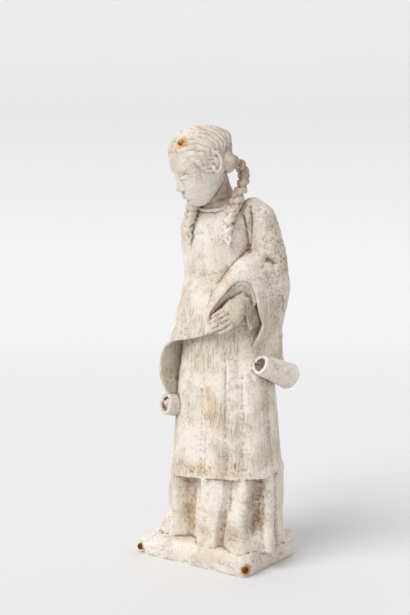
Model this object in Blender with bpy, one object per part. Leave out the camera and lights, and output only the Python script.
"""Plaster statue of a standing girl in a long dress, with two braids and a scroll-ended sash.

The figure and its plinth are cast in one. Three iron studs sit in drilled holes: one in the
hair above the forehead and two in the plinth's front corners. Metres, +Z up, the figure faces
-Y, the origin is on the floor under the middle of the figure.
"""

import math

import bmesh
import bpy
import numpy as np
from mathutils import Vector

# Plinth
PLINTH_WIDTH = 0.212
PLINTH_DEPTH = 0.150
PLINTH_HEIGHT = 0.035
PLINTH_CORNER = 0.004
PLINTH_MIDDLE = (-0.006, 0.005)

# Figure, from the plinth's top to the crown. Its own forms are given in parts of that height.
FIGURE_HEIGHT = 0.665
PARTS_IN_HEIGHT = 665.0
SASH_THICKNESS = 0.0055
BAND_THICKNESS = 0.0038
BRAID_STRAND = 0.0046

# Iron studs
STUD_DIAMETER = 0.0105
STUD_DEPTH = 0.012
STUD_RISE = 0.0022
DIMPLE_DIAMETER = 0.0050
DIMPLE_DEPTH = 0.0030
STUD_CLEARANCE = 0.0003
STUD_SIDES = 16
STUD_ON_HEAD = 0.92
STUD_FROM_MIDDLE = math.radians(-34)
STUD_HEIGHT_LEFT = 0.0105
STUD_HEIGHT_FRONT = 0.0125
STUD_PAST_CORNER = 0.0040

# Fineness of the cast surface
VOXEL = 0.0020
STATUE_TRIANGLES = 8900

PART = FIGURE_HEIGHT / PARTS_IN_HEIGHT


def clear_scene():
    for thing in list(bpy.data.objects):
        bpy.data.objects.remove(thing)


def flow(keys, values, at):
    """Smooth curve through the values at their keys: cubic Hermite with central slopes."""
    keys = np.asarray(keys, float)
    values = np.asarray(values, float)
    at = np.clip(np.asarray(at, float), keys[0], keys[-1])
    slope = np.gradient(values, keys, axis=0)
    i = np.clip(np.searchsorted(keys, at, side="right") - 1, 0, len(keys) - 2)
    step = keys[i + 1] - keys[i]
    t = (at - keys[i]) / step
    if values.ndim == 2:
        t, step = t[:, None], step[:, None]
    return (
        (1 + 2 * t) * (1 - t) ** 2 * values[i]
        + t * (1 - t) ** 2 * step * slope[i]
        + t * t * (3 - 2 * t) * values[i + 1]
        + t * t * (t - 1) * step * slope[i + 1]
    )


def trail(stations, count):
    """Points along a smooth curve through evenly counted stations."""
    stations = np.asarray(stations, float)
    return flow(np.arange(len(stations)), stations, np.linspace(0, len(stations) - 1, count))


def bump(x, middle, width):
    """Bell curve of height 1."""
    return np.exp(-(((x - middle) / width) ** 2))


def step_up(x, start, end):
    """Smooth rise from 0 to 1."""
    t = np.clip((x - start) / (end - start), 0, 1)
    return t * t * (3 - 2 * t)


def around_figure(angle, table):
    """Relief that goes right round, read from a table of angle in degrees: parts outwards."""
    angles = np.array(sorted(table), float)
    values = np.array([table[a] for a in sorted(table)], float)
    keys = np.concatenate([angles[-2:] - 360, angles, angles[:2] + 360])
    values = np.concatenate([values[-2:], values, values[:2]])
    lowest = angles[0]
    turned = (np.degrees(angle) - lowest) % 360 + lowest
    return flow(keys, values, turned.ravel()).reshape(turned.shape)


def loft(rings):
    """Closed form through rings of points, with a middle point at each end."""
    rings = np.asarray(rings, float)
    rows, around = rings.shape[:2]
    points = np.concatenate([rings.reshape(-1, 3), [rings[0].mean(0)], [rings[-1].mean(0)]])
    i, j = np.meshgrid(np.arange(rows - 1), np.arange(around), indexing="ij")
    k = (j + 1) % around
    quads = np.stack([i * around + j, i * around + k, (i + 1) * around + k, (i + 1) * around + j], -1)
    ring = np.arange(around)
    after = (ring + 1) % around
    low, high = rows * around, rows * around + 1
    start_cap = np.stack([np.full(around, low), after, ring], -1)
    end = (rows - 1) * around
    end_cap = np.stack([np.full(around, high), end + ring, end + after], -1)
    return points, [q.tolist() for q in quads.reshape(-1, 4)] + start_cap.tolist() + end_cap.tolist()


def sheet(face, back):
    """Closed slab between two grids of points that face each other."""
    return loft(np.concatenate([face, back[:, ::-1]], axis=1))


def frames_along(path, up):
    """Tangent, side and upright direction at each point of a path."""
    tangent = np.gradient(path, axis=0)
    tangent /= np.linalg.norm(tangent, axis=1, keepdims=True)
    side = np.cross(tangent, up)
    side /= np.linalg.norm(side, axis=1, keepdims=True)
    return tangent, side, np.cross(side, tangent)


def tube(path, radii, up=(0, 0, 1), around=20, flatten=1.0):
    """Round form carried along a path, domed at both ends. flatten squeezes it along up."""
    path = np.asarray(path, float)
    radii = np.broadcast_to(np.asarray(radii, float), (len(path),))
    tangent, side, rise = frames_along(path, np.asarray(up, float))
    turn = np.linspace(0, 2 * math.pi, around, endpoint=False)
    rings = []
    dome = np.radians([80, 55, 28])
    for share in dome:
        middle = path[0] - tangent[0] * radii[0] * np.sin(share) * 0.8
        rings.append(ring_at(middle, side[0], rise[0], radii[0] * np.cos(share), turn, flatten))
    for i in range(len(path)):
        rings.append(ring_at(path[i], side[i], rise[i], radii[i], turn, flatten))
    for share in dome[::-1]:
        middle = path[-1] + tangent[-1] * radii[-1] * np.sin(share) * 0.8
        rings.append(ring_at(middle, side[-1], rise[-1], radii[-1] * np.cos(share), turn, flatten))
    return loft(np.array(rings))


def ring_at(middle, side, rise, radius, turn, flatten):
    return middle + radius * (np.cos(turn)[:, None] * side + flatten * np.sin(turn)[:, None] * rise)


# The dress

SMOCK = {  # height above the plinth: middle x, middle y, half width, half depth, squareness
    104: (8, 8, 97, 64, 2.5),
    112: (8, 8, 96, 63, 2.5),
    140: (8, 8, 93, 61, 2.4),
    180: (8, 8, 90, 60, 2.3),
    225: (8, 8, 87, 58, 2.2),
    270: (8, 8, 83, 56, 2.1),
    310: (7, 8, 76, 53, 2.0),
    350: (5, 8, 67, 49, 2.0),
    385: (2, 8, 57, 46, 2.0),
    425: (-1, 7, 53, 46, 2.1),
    465: (-2, 6, 52, 47, 2.1),
    500: (0, 6, 55, 45, 2.1),
    525: (2, 8, 57, 39, 2.1),
    540: (2, 8, 47, 33, 2.1),
    548: (0, 4, 33, 27, 2.0),
    554: (0, 2, 22, 19, 2.0),
}
SMOCK_FLUTES = {-78: 1.0, -60: -0.6, -40: 1.2, -22: 0.6, -12: -0.4, -4: -2.4, 5: -0.8, 14: 1.2, 20: 0.6,
                24: -1.6, 29: 0.2, 36: -0.4, 42: -2.4, 50: 1.0, 62: 1.0, 74: 0.2, 86: -1.6, 94: 1.2,
                106: -1.0, 125: 1.6, 145: -1.8, 165: 1.5, 185: -1.6, 205: 1.5, 225: -1.8, 245: 1.4,
                262: -1.0}
UNDERSKIRT = {
    -4: (8, 5, 97, 59, 2.6),
    6: (8, 5, 96, 58, 2.6),
    30: (8, 6, 95, 57, 2.6),
    70: (8, 7, 95, 57, 2.6),
    120: (8, 8, 94, 57, 2.6),
}
UNDERSKIRT_FOLDS = {-74: -3, -66: 4, -58: 4, -48: -2, -42: 5, -35: 3, -31: -6, -26: -15, -18: -17, -12: -14,
                    -8: -3, -4: 4, 4: 5, 14: 4, 19: 2, 23: -6, 28: -8, 32: -3, 37: 3, 43: 3, 47: -5,
                    52: -14, 60: -17, 66: -13, 71: -2, 78: 4, 86: 2, 92: -4, 98: 3, 108: -4, 122: 5,
                    138: -6, 155: 4, 172: -6, 190: 4, 208: -6, 226: 4, 244: -6, 262: 5, 274: -3}


def dress_rings(table, heights, around):
    """Rings of the dress's superellipse sections, and the angle of each point, 0 at the front."""
    keys = np.array(sorted(table), float)
    rows = flow(keys, np.array([table[k] for k in sorted(table)], float), heights)
    angle = np.linspace(-math.pi, math.pi, around, endpoint=False)[None, :]
    x0, y0, half_x, half_y, square = (rows[:, i : i + 1] for i in range(5))
    sine, cosine = np.sin(angle), np.cos(angle)
    radius = (np.abs(sine) ** square + np.abs(cosine) ** square) ** (-1 / square)
    x = x0 + half_x * radius * sine
    y = y0 - half_y * radius * cosine
    z = np.broadcast_to(heights[:, None], x.shape)
    outward = np.stack([sine * half_y, -cosine * half_x, 0 * sine * half_y], -1)
    outward /= np.linalg.norm(outward, axis=-1, keepdims=True)
    return np.stack([x, y, z], -1), np.broadcast_to(angle, x.shape), outward


def smock(rows, around):
    heights = np.linspace(min(SMOCK), max(SMOCK), rows)
    rings, angle, outward = dress_rings(SMOCK, heights, around)
    z = rings[..., 2]
    fade = 1 - step_up(z, 240, 345)
    relief = around_figure(angle, SMOCK_FLUTES) * (0.35 + 0.65 * fade) * (1 - step_up(z, 480, 530))
    hem = 1.6 * bump(z, 112, 9)
    rings = rings + outward * (relief + hem)[..., None]
    rings[..., 2] += (3.5 + 9 * np.sin(angle - 0.05)) * (1 - step_up(z, 104, 150))
    return loft(rings)


def underskirt(rows, around):
    heights = np.linspace(min(UNDERSKIRT), max(UNDERSKIRT), rows)
    rings, angle, outward = dress_rings(UNDERSKIRT, heights, around)
    z = rings[..., 2]
    foot = 1 - step_up(z, 0, 42)
    sway = math.radians(7) * bump(np.degrees(angle), 24, 12) * (1 - step_up(z, 0, 100))
    relief = around_figure(angle + sway, UNDERSKIRT_FOLDS) * (1 + 0.12 * foot)
    toe = 11 * bump(np.degrees(angle), 36, 13) * (1 - step_up(z, 0, 26))
    drape = 19 * bump(np.degrees(angle), 57, 15) * (1 - step_up(z, 4, 42))
    side = 10 * bump(np.degrees(angle), -68, 9) * (1 - step_up(z, 0, 38))
    return loft(rings + outward * (relief + toe + drape + side + 3 * foot)[..., None])


def collar(count, around):
    turn = np.linspace(0, 2 * math.pi, count)
    ring = np.stack([31 * np.sin(turn), -6 - 27 * np.cos(turn), 541 - 9 * np.cos(turn)], -1)
    return tube(ring, 2.6, around=around)


# The arms

def sleeve(stations, radii, count, around, wrinkle):
    path = trail(stations, count)
    radius = trail(np.asarray(radii, float)[:, None], count)[:, 0]
    along = np.linspace(0, 1, count)
    radius = radius + wrinkle * np.sin(along * 21) * np.sin(along * math.pi)
    return tube(path, radius, up=(0, 1, 0), around=around)


def left_sleeve(count, around):
    stations = [(53, 11, 531), (66, 19, 512), (75, 26, 472), (80, 32, 437), (81, 36, 408),
                (80, 37, 382), (79, 36, 352)]
    return sleeve(stations, [24, 26.5, 26, 26, 25, 22, 16], count, around, 0.9)


def right_sleeve(count, around):
    stations = [(-47, 8, 520), (-57, 8, 500), (-58, 11, 460), (-58, 11, 420), (-61, 6, 385),
                (-66, -4, 350)]
    return sleeve(stations, [21, 21, 18, 17, 17, 14], count, around, 0.8)


def left_forearm(count, around):
    path = trail([(78, 34, 405), (66, 22, 399), (60, 2, 394), (58, -18, 391)], count)
    return tube(path, np.linspace(16, 13, count), around=around)


FINGERS = [  # root, middle joint and tip of each finger, from the first to the little one
    ((51, -56, 375), (42, -65, 368), (30, -66, 361)),
    ((54, -55, 369), (44, -65, 361), (31, -66, 354)),
    ((56, -53, 362), (48, -62, 355), (34, -63, 349)),
    ((59, -50, 356), (53, -56, 350), (42, -59, 345)),
]


def left_hand(around):
    """Back of the hand, thumb and four fingers laid side by side on the sash."""
    palm = trail([(56, -28, 389), (55, -37, 379), (52, -42, 368), (47, -43, 360)], 7)
    widths = [13, 17, 18.5, 18.5, 17, 15, 11]
    forms = [tube(palm, widths, up=(0.5, -0.8, 0.2), around=around, flatten=0.8)]
    for root, joint, tip in FINGERS:
        forms.append(tube(trail([root, joint, tip], 9), np.linspace(3.9, 3.2, 9), around=around))
    thumb = trail([(47, -48, 382), (39, -56, 375), (30, -60, 368)], 8)
    forms.append(tube(thumb, np.linspace(4.4, 3.6, 8), around=around))
    return forms


# The sash

# Edges of the cloth: the band across the front, the arch over the hand, the arch's underside
# and the fold inside it
SASH_FRONT = [(-66, -39, 223), (-72, -45, 238), (-78, -51, 258), (-80, -53, 278), (-78, -54, 298),
              (-68, -52, 313), (-50, -54, 323), (-24, -52, 328), (4, -54, 335), (26, -56, 343),
              (41, -47, 349), (54, -35, 353), (66, -19, 354)]
SASH_BACK = [(-62, 0, 223), (-66, 16, 240), (-70, 20, 262), (-71, 20, 280), (-72, 14, 302), (-76, 2, 330),
             (-72, -12, 366), (-56, -24, 396), (-35, -33, 412), (-8, -37, 419), (15, -37, 416),
             (32, -33, 409), (50, -20, 404)]
ARCH_FRONT = [(24, -61, 361), (28, -63, 376), (42, -54, 399), (54, -41, 418), (62, -33, 424),
              (71, -25, 423), (80, -22, 411), (85, -21, 397), (88, -18, 376), (90, -11, 356),
              (84, -11, 338), (74, -15, 322), (70, -19, 304), (76, -22, 286)]
ARCH_BACK = [(14, -43, 370), (16, -38, 397), (26, -28, 422), (36, -15, 446), (44, 0, 461), (52, 12, 467),
             (60, 24, 463), (70, 38, 449), (81, 52, 422), (84, 56, 390), (84, 54, 352), (84, 53, 322),
             (87, 52, 296), (93, 52, 274)]
LINING_RIM = [(25, -61, 368), (31, -56, 385), (41, -48, 401), (51, -40, 414), (61, -32, 423), (71, -24, 422),
              (78, -19, 408), (82, -16, 391)]
LINING_IN = [(23, -54, 372), (29, -48, 381), (36, -42, 389), (47, -33, 396), (56, -25, 401), (63, -20, 400),
             (69, -14, 392), (74, -10, 381)]
INNER_FRONT = [(57, -36, 401), (61, -34, 393), (68, -30, 379), (71, -26, 363), (74, -23, 347)]
INNER_BACK = [(64, -16, 407), (70, -11, 393), (74, -7, 379), (77, -3, 363), (76, -3, 352)]

# Rolled ends of the cloth: near end, far end, radius at each, radius of the plaster inside at each
LEFT_ROLL = ((93, -23, 297), (109, 41, 270), 16.5, 22, 9, 15)
RIGHT_ROLL = ((-72, -50, 220), (-58, -20, 213), 18.5, 19, 11.5, 13)
ROLL_TURNS = 1.0
ROLL_START = math.radians(180)
CORE_INSET = 0.34


def cloth(front, back, bulge, rows, columns, thickness, sag=0.0):
    """Sheet between two edges, bowed outwards by bulge, with its thickness inwards."""
    a, b = trail(front, rows), trail(back, rows)
    share = np.linspace(0, 1, columns)
    grid = a[:, None] * (1 - share)[None, :, None] + b[:, None] * share[None, :, None]
    middle = np.array([4.0, 10.0, 0.0])
    away = grid - middle
    away[..., 2] = 0
    away /= np.linalg.norm(away, axis=-1, keepdims=True)
    arch = (4 * share * (1 - share))[None, :, None]
    along = np.linspace(0, 1, rows)[:, None, None]
    grid = grid + away * arch * bulge + np.array([0, 0, 1.0]) * arch * sag * np.sin(along * math.pi)
    across = np.gradient(grid, axis=1)
    down = np.gradient(grid, axis=0)
    normal = np.cross(down, across)
    normal /= np.linalg.norm(normal, axis=-1, keepdims=True)
    flip = np.sign((normal * away).sum(-1).mean())
    return sheet(grid + normal * flip * thickness / 2, grid - normal * flip * thickness / 2)


def roll(near, far, radius_near, radius_far, thickness, count, around):
    """Rolled cloth: a spiral strip about the line from near to far, closed into one solid."""
    near, far = np.asarray(near, float), np.asarray(far, float)
    axis = (far - near) / np.linalg.norm(far - near)
    side = np.cross(axis, (0, 0, 1.0))
    side /= np.linalg.norm(side)
    rise = np.cross(side, axis)
    turn = np.linspace(0, 2 * math.pi * ROLL_TURNS, int(around * ROLL_TURNS))
    angle = np.concatenate([turn, turn[::-1]]) + ROLL_START
    way_out = np.cos(angle)[:, None] * side - np.sin(angle)[:, None] * rise
    pitch = 1.45 * thickness
    rings = []
    for share in np.linspace(0, 1, count):
        radius = radius_near + (radius_far - radius_near) * share
        strip = radius + pitch * (turn / (2 * math.pi) - ROLL_TURNS)
        loop = np.concatenate([strip + thickness / 2, strip[::-1] - thickness / 2])
        rings.append(near + (far - near) * share + loop[:, None] * way_out)
    return loft(np.array(rings))


def roll_core(near, far, radius_near, radius_far, around):
    """Plaster inside a roll, set back from its near end."""
    near, far = np.asarray(near, float), np.asarray(far, float)
    share = np.linspace(CORE_INSET, 0.94, 6)[:, None]
    return tube(near + (far - near) * share, np.linspace(radius_near, radius_far, 6), around=around)


def rolled_end(placing, thickness):
    """One rolled end with the plaster inside it."""
    near, far, radius_near, radius_far, core_near, core_far = placing
    return [
        roll(near, far, radius_near, radius_far, thickness, 10, 22),
        roll_core(near, far, core_near, core_far, 14),
    ]


def sash():
    thickness = SASH_THICKNESS / PART
    forms = [
        cloth(SASH_FRONT, SASH_BACK, 3.5, 52, 16, BAND_THICKNESS / PART),
        cloth(ARCH_FRONT, ARCH_BACK, 8, 56, 18, thickness, sag=9),
        cloth(LINING_RIM, LINING_IN, 0, 30, 6, BAND_THICKNESS / PART),
        cloth(INNER_FRONT, INNER_BACK, 0, 20, 8, thickness),
    ]
    forms += rolled_end(LEFT_ROLL, thickness * 0.9) + rolled_end(RIGHT_ROLL, thickness * 0.9)
    return forms


# The head

PARTS_IN_HEAD = 128.0
HEAD_SCALE = 0.89
HEAD_MIDDLE = (-8.0, -40.0, 604.0)
HEAD_TURN = math.radians(24)
HEAD_BOW = math.radians(27)
HAIR_PARTS = 2.4
SKULL = {  # share of the head's height from the chin: forward of the middle, half width, half depth
    0.00: (27, 12, 10),
    0.04: (24, 20, 18),
    0.12: (16, 30, 33),
    0.25: (8, 38, 44),
    0.40: (0, 44, 51),
    0.58: (-6, 48, 58),
    0.70: (-9, 48, 59),
    0.80: (-7, 42, 51),
    0.88: (-5, 34, 41),
    0.94: (-3, 25, 29),
    0.98: (-3, 15, 18),
    1.00: (-2, 5, 6),
}


def head_axes():
    """The head's own right, forward and up directions."""
    level = np.array([-math.sin(HEAD_TURN), -math.cos(HEAD_TURN), 0.0])
    right = np.cross(level, (0, 0, 1.0))
    forward = level * math.cos(HEAD_BOW) - np.array([0, 0, math.sin(HEAD_BOW)])
    return right, forward, np.cross(right, forward)


def from_head(points):
    """Puts points given as right, forward and up from the head's middle into the figure."""
    right, forward, up = head_axes()
    points = np.asarray(points, float)
    sideways, ahead, upwards = (HEAD_SCALE * points[..., i : i + 1] for i in range(3))
    return np.asarray(HEAD_MIDDLE) + sideways * right + ahead * forward + upwards * up


def face_relief(x, z):
    """How far the face stands forward of the plain skull, by side x and height share z."""
    side = np.abs(x)
    bridge = step_up(z, 0.585, 0.36) * (1 - step_up(z, 0.335, 0.285))
    nose = 11.5 * bridge * bump(x, 0, 5.0 + 2.0 * (1 - step_up(z, 0.33, 0.5)))
    wings = 4.0 * bump(side, 7.0, 3.6) * bump(z, 0.325, 0.03)
    sockets = -5.0 * bump(side, 17, 11) * bump(z, 0.505, 0.07)
    lids = 4.2 * bump(side, 17, 9.0) * bump(z, 0.475, 0.042)
    lid_line = -1.6 * bump(z, 0.446 + 0.00012 * (side - 17) ** 2, 0.010) * bump(side, 17, 9)
    brow = 2.0 * bump(side, 18, 13) * bump(z, 0.585, 0.035)
    cheeks = 3.0 * bump(side, 25, 13) * bump(z, 0.33, 0.10)
    muzzle = 3.2 * bump(x, 0, 15) * bump(z, 0.215, 0.07)
    upper_lip = 2.6 * bump(x, 0, 10) * bump(z, 0.232, 0.018)
    lower_lip = 3.2 * bump(x, 0, 8) * bump(z, 0.185, 0.020)
    lips_line = -2.2 * bump(x, 0, 12) * bump(z, 0.208, 0.009)
    under_lip = -2.2 * bump(x, 0, 10) * bump(z, 0.148, 0.022)
    chin = 4.0 * bump(x, 0, 11) * bump(z, 0.085, 0.045)
    return (nose + wings + sockets + lids + lid_line + brow + cheeks + muzzle + upper_lip + lower_lip
            + lips_line + under_lip + chin)


def hair_share(x, y, z):
    """1 where hair covers the skull and 0 on the face and neck, soft at the hairline."""
    side = np.abs(x)
    hairline = 0.80 - 0.0000036 * side ** 3 - 0.14 * step_up(side, 36, 46)
    front = step_up(z, hairline, hairline + 0.09)
    behind = step_up(-y, -6, 2) * step_up(z, 0.30, 0.36)
    return np.maximum(front, behind)


def hair_relief(x, y, z):
    """Combed strands that run from the parting down to the braid's root behind each ear."""
    root_y, root_z = -32.0, 0.36 * PARTS_IN_HEAD
    way = np.arctan2(z * PARTS_IN_HEAD - root_z, y - root_y)
    reach = np.hypot(z * PARTS_IN_HEAD - root_z, y - root_y)
    wave = 0.05 * np.sin(reach * 0.11 + 3 * way)
    strands = np.abs(np.sin(19 * (way + wave)))
    parting = -2.2 * bump(x, 0, 1.6) * step_up(z, 0.6, 0.8)
    return HAIR_PARTS + 1.5 * strands ** 0.6 * step_up(reach, 8, 26) + parting


def head(rows, around):
    keys = np.array(sorted(SKULL), float)
    table = np.array([SKULL[k] for k in sorted(SKULL)], float)
    share = 0.5 - 0.5 * np.cos(np.linspace(0.05, math.pi, rows))
    stations = flow(keys, table, share)
    turn = np.linspace(-math.pi, math.pi, around, endpoint=False)[None, :]
    z = np.broadcast_to(share[:, None], (rows, around))
    x = stations[:, 1:2] * np.sin(turn)
    y = stations[:, :1] + stations[:, 2:3] * np.cos(turn)
    front = step_up(np.cos(turn), 0.05, 0.55) * np.ones_like(z)
    y = y + face_relief(x, z) * front
    hair = hair_share(x, y, z)
    lift = hair * hair_relief(x, y, z)
    out = np.stack([x / 46.0 ** 2, (y + 3) / 54.0 ** 2, (z - 0.55) * PARTS_IN_HEAD / 61.0 ** 2], -1)
    out /= np.linalg.norm(out, axis=-1, keepdims=True)
    local = np.stack([x, y, (z - 0.5) * PARTS_IN_HEAD], -1) + out * lift[..., None]
    return loft(from_head(local))


def ears(count, around):
    forms = []
    for side in (-1, 1):
        turn = np.linspace(math.radians(-150), math.radians(115), count)
        lean = math.radians(16)
        a, b = 7.5 * np.cos(turn), 16.5 * np.sin(turn)
        y = -3.0 - (a * math.cos(lean) + b * math.sin(lean))
        z = 2.0 + b * math.cos(lean) - a * math.sin(lean)
        x = side * (52.5 + 2.4 * np.cos(turn) - 0.03 * np.abs(b) ** 1.5)
        rim = from_head(np.stack([x, y, z], -1))
        forms.append(tube(rim, np.linspace(3.2, 3.0, count), up=(1, 0, 0), around=around))
        bowl = from_head(trail([(side * 46, -3, 12), (side * 48, -5, 2), (side * 46, -1, -12)], 6))
        forms.append(tube(bowl, [3.4, 5.2, 5.6, 5.4, 5.0, 4.0], up=(1, 0, 0), around=around))
    return forms


def hair_roots(around):
    """The gathered hair behind each ear, where a braid starts."""
    forms = []
    for side in (-1, 1):
        path = trail([(side * 30, -22, 8), (side * 33, -29, -6), (side * 32, -32, -24)], 8)
        radii = [11, 14, 16, 17, 17, 16, 13, 9]
        forms.append(tube(from_head(path), radii, up=(1, 0, 0), around=around))
    return forms


def neck(count, around):
    path = trail([(0, 6, 520), (0, 2, 545), (-2, -10, 568), (-3, -22, 592)], count)
    radii = flow([0, 1, 2], [29, 25, 26], np.linspace(0, 2, count))
    return tube(path, radii, up=(0, 1, 0), around=around)


LEFT_BRAID = [(26, -8, 611), (33, 3, 606), (39, 8, 595), (43, 5, 582), (46, -3, 570), (46, -13, 556),
              (45, -21, 542), (42, -28, 527), (40, -31, 512), (39, -33, 496)]
RIGHT_BRAID = [(-32, 10, 600), (-41, 8, 586), (-42, -4, 570), (-34, -19, 556), (-28, -30, 543),
               (-29, -36, 530), (-31, -39, 516), (-33, -39, 500)]


def braid(stations, strand, plaits, count, around):
    """Three strands that weave over one another along a path, then a tied curl."""
    path = trail(stations, count)
    tangent, side, rise = frames_along(path, np.array([0.0, 1.0, 0.0]))
    along = np.linspace(0, 1, count)
    taper = 1 + 0.22 * bump(along, 0.62, 0.16) - 0.16 * along ** 2
    forms = []
    for i in range(3):
        phase = 2 * math.pi * (plaits * along + i / 3)
        swing = strand * 0.95 * np.sin(phase)[:, None] * taper[:, None]
        weave = strand * 0.62 * np.sin(2 * phase)[:, None] * taper[:, None]
        woven = path + swing * side + weave * rise
        forms.append(tube(woven, strand * taper, up=(0, 1, 0), around=around))
    return forms


def curl(start, strand, around):
    """The loose tuft under a braid's tie, curled in an S."""
    turn = np.linspace(0, 1, 14)
    x = start[0] + 4.5 * np.sin(turn * 6.6 + 2.8)
    y = start[1] - 1.5 * np.sin(turn * 3.1)
    z = start[2] - 24 * turn
    return tube(np.stack([x, y, z], -1), strand * (1.05 - 0.5 * turn), up=(0, 1, 0), around=around)


# The plinth

PLINTH_RINGS = {  # height: how far the plinth's faces are set in there, both in plinth heights
    -0.3: 0.057,
    0.0: 0.057,
    0.25: 0.0,
    0.55: 0.0,
    0.8: 0.034,
    0.94: 0.114,
    1.0: 0.257,
}
CORNER_REACH = 0.030


def plinth(around):
    """Rough slab: undercut faces, a worn corner by the left stud and a raised one at the back."""
    angle = np.linspace(-math.pi, math.pi, around, endpoint=False)
    half_x, half_y = PLINTH_WIDTH / 2, PLINTH_DEPTH / 2
    sine, cosine = np.sin(angle), np.cos(angle)
    ripple = 1 + 0.006 * np.sin(9 * angle) + 0.005 * np.sin(17 * angle + 1)
    rings = []
    for height, set_in in PLINTH_RINGS.items():
        cut = set_in * PLINTH_HEIGHT
        to_side = (half_x - cut) / np.maximum(np.abs(sine), 1e-6)
        to_front = (half_y - cut) / np.maximum(np.abs(cosine), 1e-6)
        x = np.minimum(to_side, to_front) * sine
        y = -np.minimum(to_side, to_front) * cosine
        blunt = PLINTH_CORNER * bump(np.hypot(half_x - np.abs(x), half_y - np.abs(y)), 0, 2 * PLINTH_CORNER)
        x = x - np.sign(x) * blunt
        y = y - np.sign(y) * blunt
        by_left_stud = bump(np.hypot(x + half_x, y + half_y), 0, CORNER_REACH)
        by_back = bump(np.hypot(x - half_x, y - half_y), 0, CORNER_REACH)
        lump = 1 + 0.085 * by_left_stud * (0.2 < height < 0.9) + 0.03 * by_back
        top = 1 + (0.26 * by_back - 0.42 * by_left_stud) * (height > 0.5)
        x = x * lump * ripple + PLINTH_MIDDLE[0]
        y = y * ripple + PLINTH_MIDDLE[1]
        rings.append(np.stack([x, y, height * PLINTH_HEIGHT * top], -1))
    return loft(np.array(rings))


# Putting the statue together

def add_form(mesh, form, placed):
    """Adds a closed form to a bmesh, moved from parts of the figure's height to metres if placed."""
    points, faces = form
    if placed:
        points = points * PART + np.array([0, 0, PLINTH_HEIGHT])
    corners = [mesh.verts.new(p) for p in points]
    for face in faces:
        mesh.faces.new([corners[i] for i in face])


def statue_forms():
    forms = [smock(70, 96), underskirt(24, 160), collar(28, 8), left_sleeve(26, 22), right_sleeve(26, 20),
             left_forearm(8, 16), neck(10, 24), head(72, 96)]
    forms += left_hand(14) + sash() + ears(14, 8) + hair_roots(16)
    strand = BRAID_STRAND / PART
    for path, plaits, count in ((LEFT_BRAID, 5.5, 60), (RIGHT_BRAID, 4.5, 50)):
        forms += braid(path, strand, plaits, count, 8)
        forms.append(curl(path[-1], strand * 1.1, 8))
    return forms


def place_on_axis(thing, spot, outward):
    """Puts a turned object where its axis leaves the surface."""
    thing.location = Vector(spot)
    thing.rotation_euler = Vector(outward).to_track_quat("Z", "Y").to_euler()


def plaster():
    material = bpy.data.materials.new("aged_plaster")
    material.use_nodes = True
    shader = material.node_tree.nodes["Principled BSDF"]
    shader.inputs["Base Color"].default_value = (0.78, 0.71, 0.60, 1)
    shader.inputs["Roughness"].default_value = 0.85
    shader.inputs["Metallic"].default_value = 0.0
    return material


def rusty_iron():
    material = bpy.data.materials.new("rusty_iron")
    material.use_nodes = True
    shader = material.node_tree.nodes["Principled BSDF"]
    shader.inputs["Base Color"].default_value = (0.20, 0.08, 0.03, 1)
    shader.inputs["Roughness"].default_value = 0.9
    shader.inputs["Metallic"].default_value = 0.3
    return material


def on_hair(share, turn):
    """Point of the hair at a share of the head's height and a turn from the middle of the front."""
    keys = np.array(sorted(SKULL), float)
    table = np.array([SKULL[k] for k in sorted(SKULL)], float)
    forward, half_width, half_depth = flow(keys, table, np.array([share]))[0]
    side = (half_width + HAIR_PARTS) * math.sin(turn)
    ahead = forward + (half_depth + HAIR_PARTS) * math.cos(turn)
    return from_head([side, ahead, (share - 0.5) * PARTS_IN_HEAD])


def stud_places():
    """Where each stud's head meets the plaster, and the way it points out."""
    share, turn = STUD_ON_HEAD, STUD_FROM_MIDDLE
    upwards = on_hair(share + 0.02, turn) - on_hair(share - 0.02, turn)
    sideways = on_hair(share, turn + 0.1) - on_hair(share, turn - 0.1)
    outward = np.cross(upwards, sideways)
    half_x, half_y = PLINTH_WIDTH / 2 - PLINTH_CORNER, PLINTH_DEPTH / 2 - PLINTH_CORNER
    left, right, front = PLINTH_MIDDLE[0] - half_x, PLINTH_MIDDLE[0] + half_x, PLINTH_MIDDLE[1] - half_y
    return {
        "head_stud": (on_hair(share, turn) * PART + np.array([0, 0, PLINTH_HEIGHT]), outward),
        "left_plinth_stud": (
            (left - STUD_PAST_CORNER, front - STUD_PAST_CORNER / 2, STUD_HEIGHT_LEFT),
            (-0.35, -1.0, 0.0),
        ),
        "front_plinth_stud": ((right, front, STUD_HEIGHT_FRONT), (1.0, -1.0, 0.0)),
    }


def turned(profile, around):
    """Closed form turned about Z from pairs of radius and height."""
    turn = np.linspace(0, 2 * math.pi, around, endpoint=False)
    circle = np.stack([np.cos(turn), np.sin(turn), 0 * turn], -1)
    return loft([circle * radius + np.array([0, 0, height]) for radius, height in profile])


def stud_profile(grow):
    """Cylinder with a domed head and a drilled dimple, or the hole that it fits when grown."""
    radius = STUD_DIAMETER / 2
    dimple = DIMPLE_DIAMETER / 2
    if grow:
        return [(radius + grow, -STUD_DEPTH - grow), (radius + grow, 3 * STUD_RISE)]
    return [
        (radius * 0.98, -STUD_DEPTH),
        (radius, 0.2 * STUD_RISE),
        (radius * 0.92, 0.65 * STUD_RISE),
        (radius * 0.75, 0.92 * STUD_RISE),
        (dimple, STUD_RISE),
        (dimple * 0.8, STUD_RISE - DIMPLE_DEPTH),
    ]


def named_object(name, forms, material=None):
    """One object from closed forms, each given with whether it is in parts of the figure's height."""
    data = bpy.data.meshes.new(name)
    mesh = bmesh.new()
    for form, placed in forms:
        add_form(mesh, form, placed)
    bmesh.ops.recalc_face_normals(mesh, faces=mesh.faces)
    mesh.to_mesh(data)
    mesh.free()
    data.shade_smooth()
    thing = bpy.data.objects.new(name, data)
    bpy.context.scene.collection.objects.link(thing)
    if material:
        data.materials.append(material)
    return thing


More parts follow.
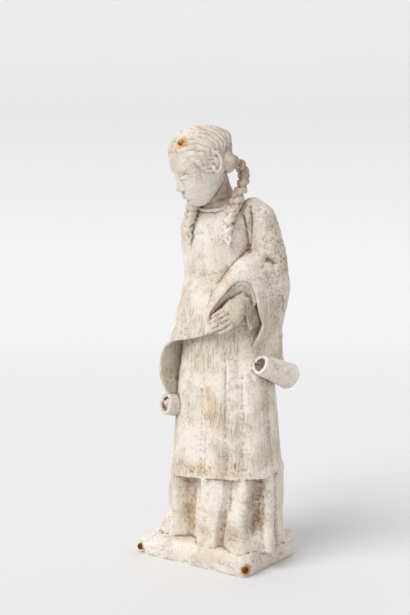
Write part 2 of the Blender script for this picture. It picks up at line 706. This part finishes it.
def cut_from(statue, name, profile, spot, outward, around):
    """Takes a turned form away from the statue."""
    guide = named_object(name, [(turned(profile, around), False)])
    guide.hide_render = True
    guide.display_type = "WIRE"
    place_on_axis(guide, spot, outward)
    cut = statue.modifiers.new(name, "BOOLEAN")
    cut.operation = "DIFFERENCE"
    cut.object = guide


def one_skin(thing):
    """Melts the forms that reach into one another into one skin, and fills the voids shut inside."""
    melt = thing.modifiers.new("one skin", "REMESH")
    melt.mode = "VOXEL"
    melt.voxel_size = VOXEL
    melt.use_smooth_shade = True
    melted = thing.evaluated_get(bpy.context.evaluated_depsgraph_get())
    mesh = bmesh.new()
    mesh.from_mesh(melted.to_mesh())
    melted.to_mesh_clear()
    thing.modifiers.remove(melt)
    outside = max(mesh.verts, key=lambda corner: corner.co.z)
    reached = {outside}
    waiting = [outside]
    while waiting:
        near = waiting.pop()
        for edge in near.link_edges:
            far = edge.other_vert(near)
            if far not in reached:
                reached.add(far)
                waiting.append(far)
    inner = [corner for corner in mesh.verts if corner not in reached]
    bmesh.ops.delete(mesh, geom=inner, context="VERTS")
    mesh.to_mesh(thing.data)
    mesh.free()


def build_statue(places):
    forms = [(form, True) for form in statue_forms()] + [(plinth(120), False)]
    statue = named_object("girl_statue", forms, plaster())
    one_skin(statue)
    thin = statue.modifiers.new("fewer facets", "DECIMATE")
    thin.ratio = STATUE_TRIANGLES / (2 * len(statue.data.polygons))
    thin.use_collapse_triangulate = True
    under = [(PLINTH_WIDTH, -PLINTH_HEIGHT), (PLINTH_WIDTH, 0)]
    cut_from(statue, "floor_cut", under, (0, 0, 0), (0, 0, 1), 4)
    for name, (spot, outward) in places.items():
        cut_from(statue, name + "_hole", stud_profile(STUD_CLEARANCE), spot, outward, STUD_SIDES)
    return statue


def build_studs(places):
    iron = rusty_iron()
    for name, (spot, outward) in places.items():
        stud = named_object(name, [(turned(stud_profile(0), STUD_SIDES), False)], iron)
        place_on_axis(stud, spot, outward)


def main():
    clear_scene()
    places = stud_places()
    build_statue(places)
    build_studs(places)


main()
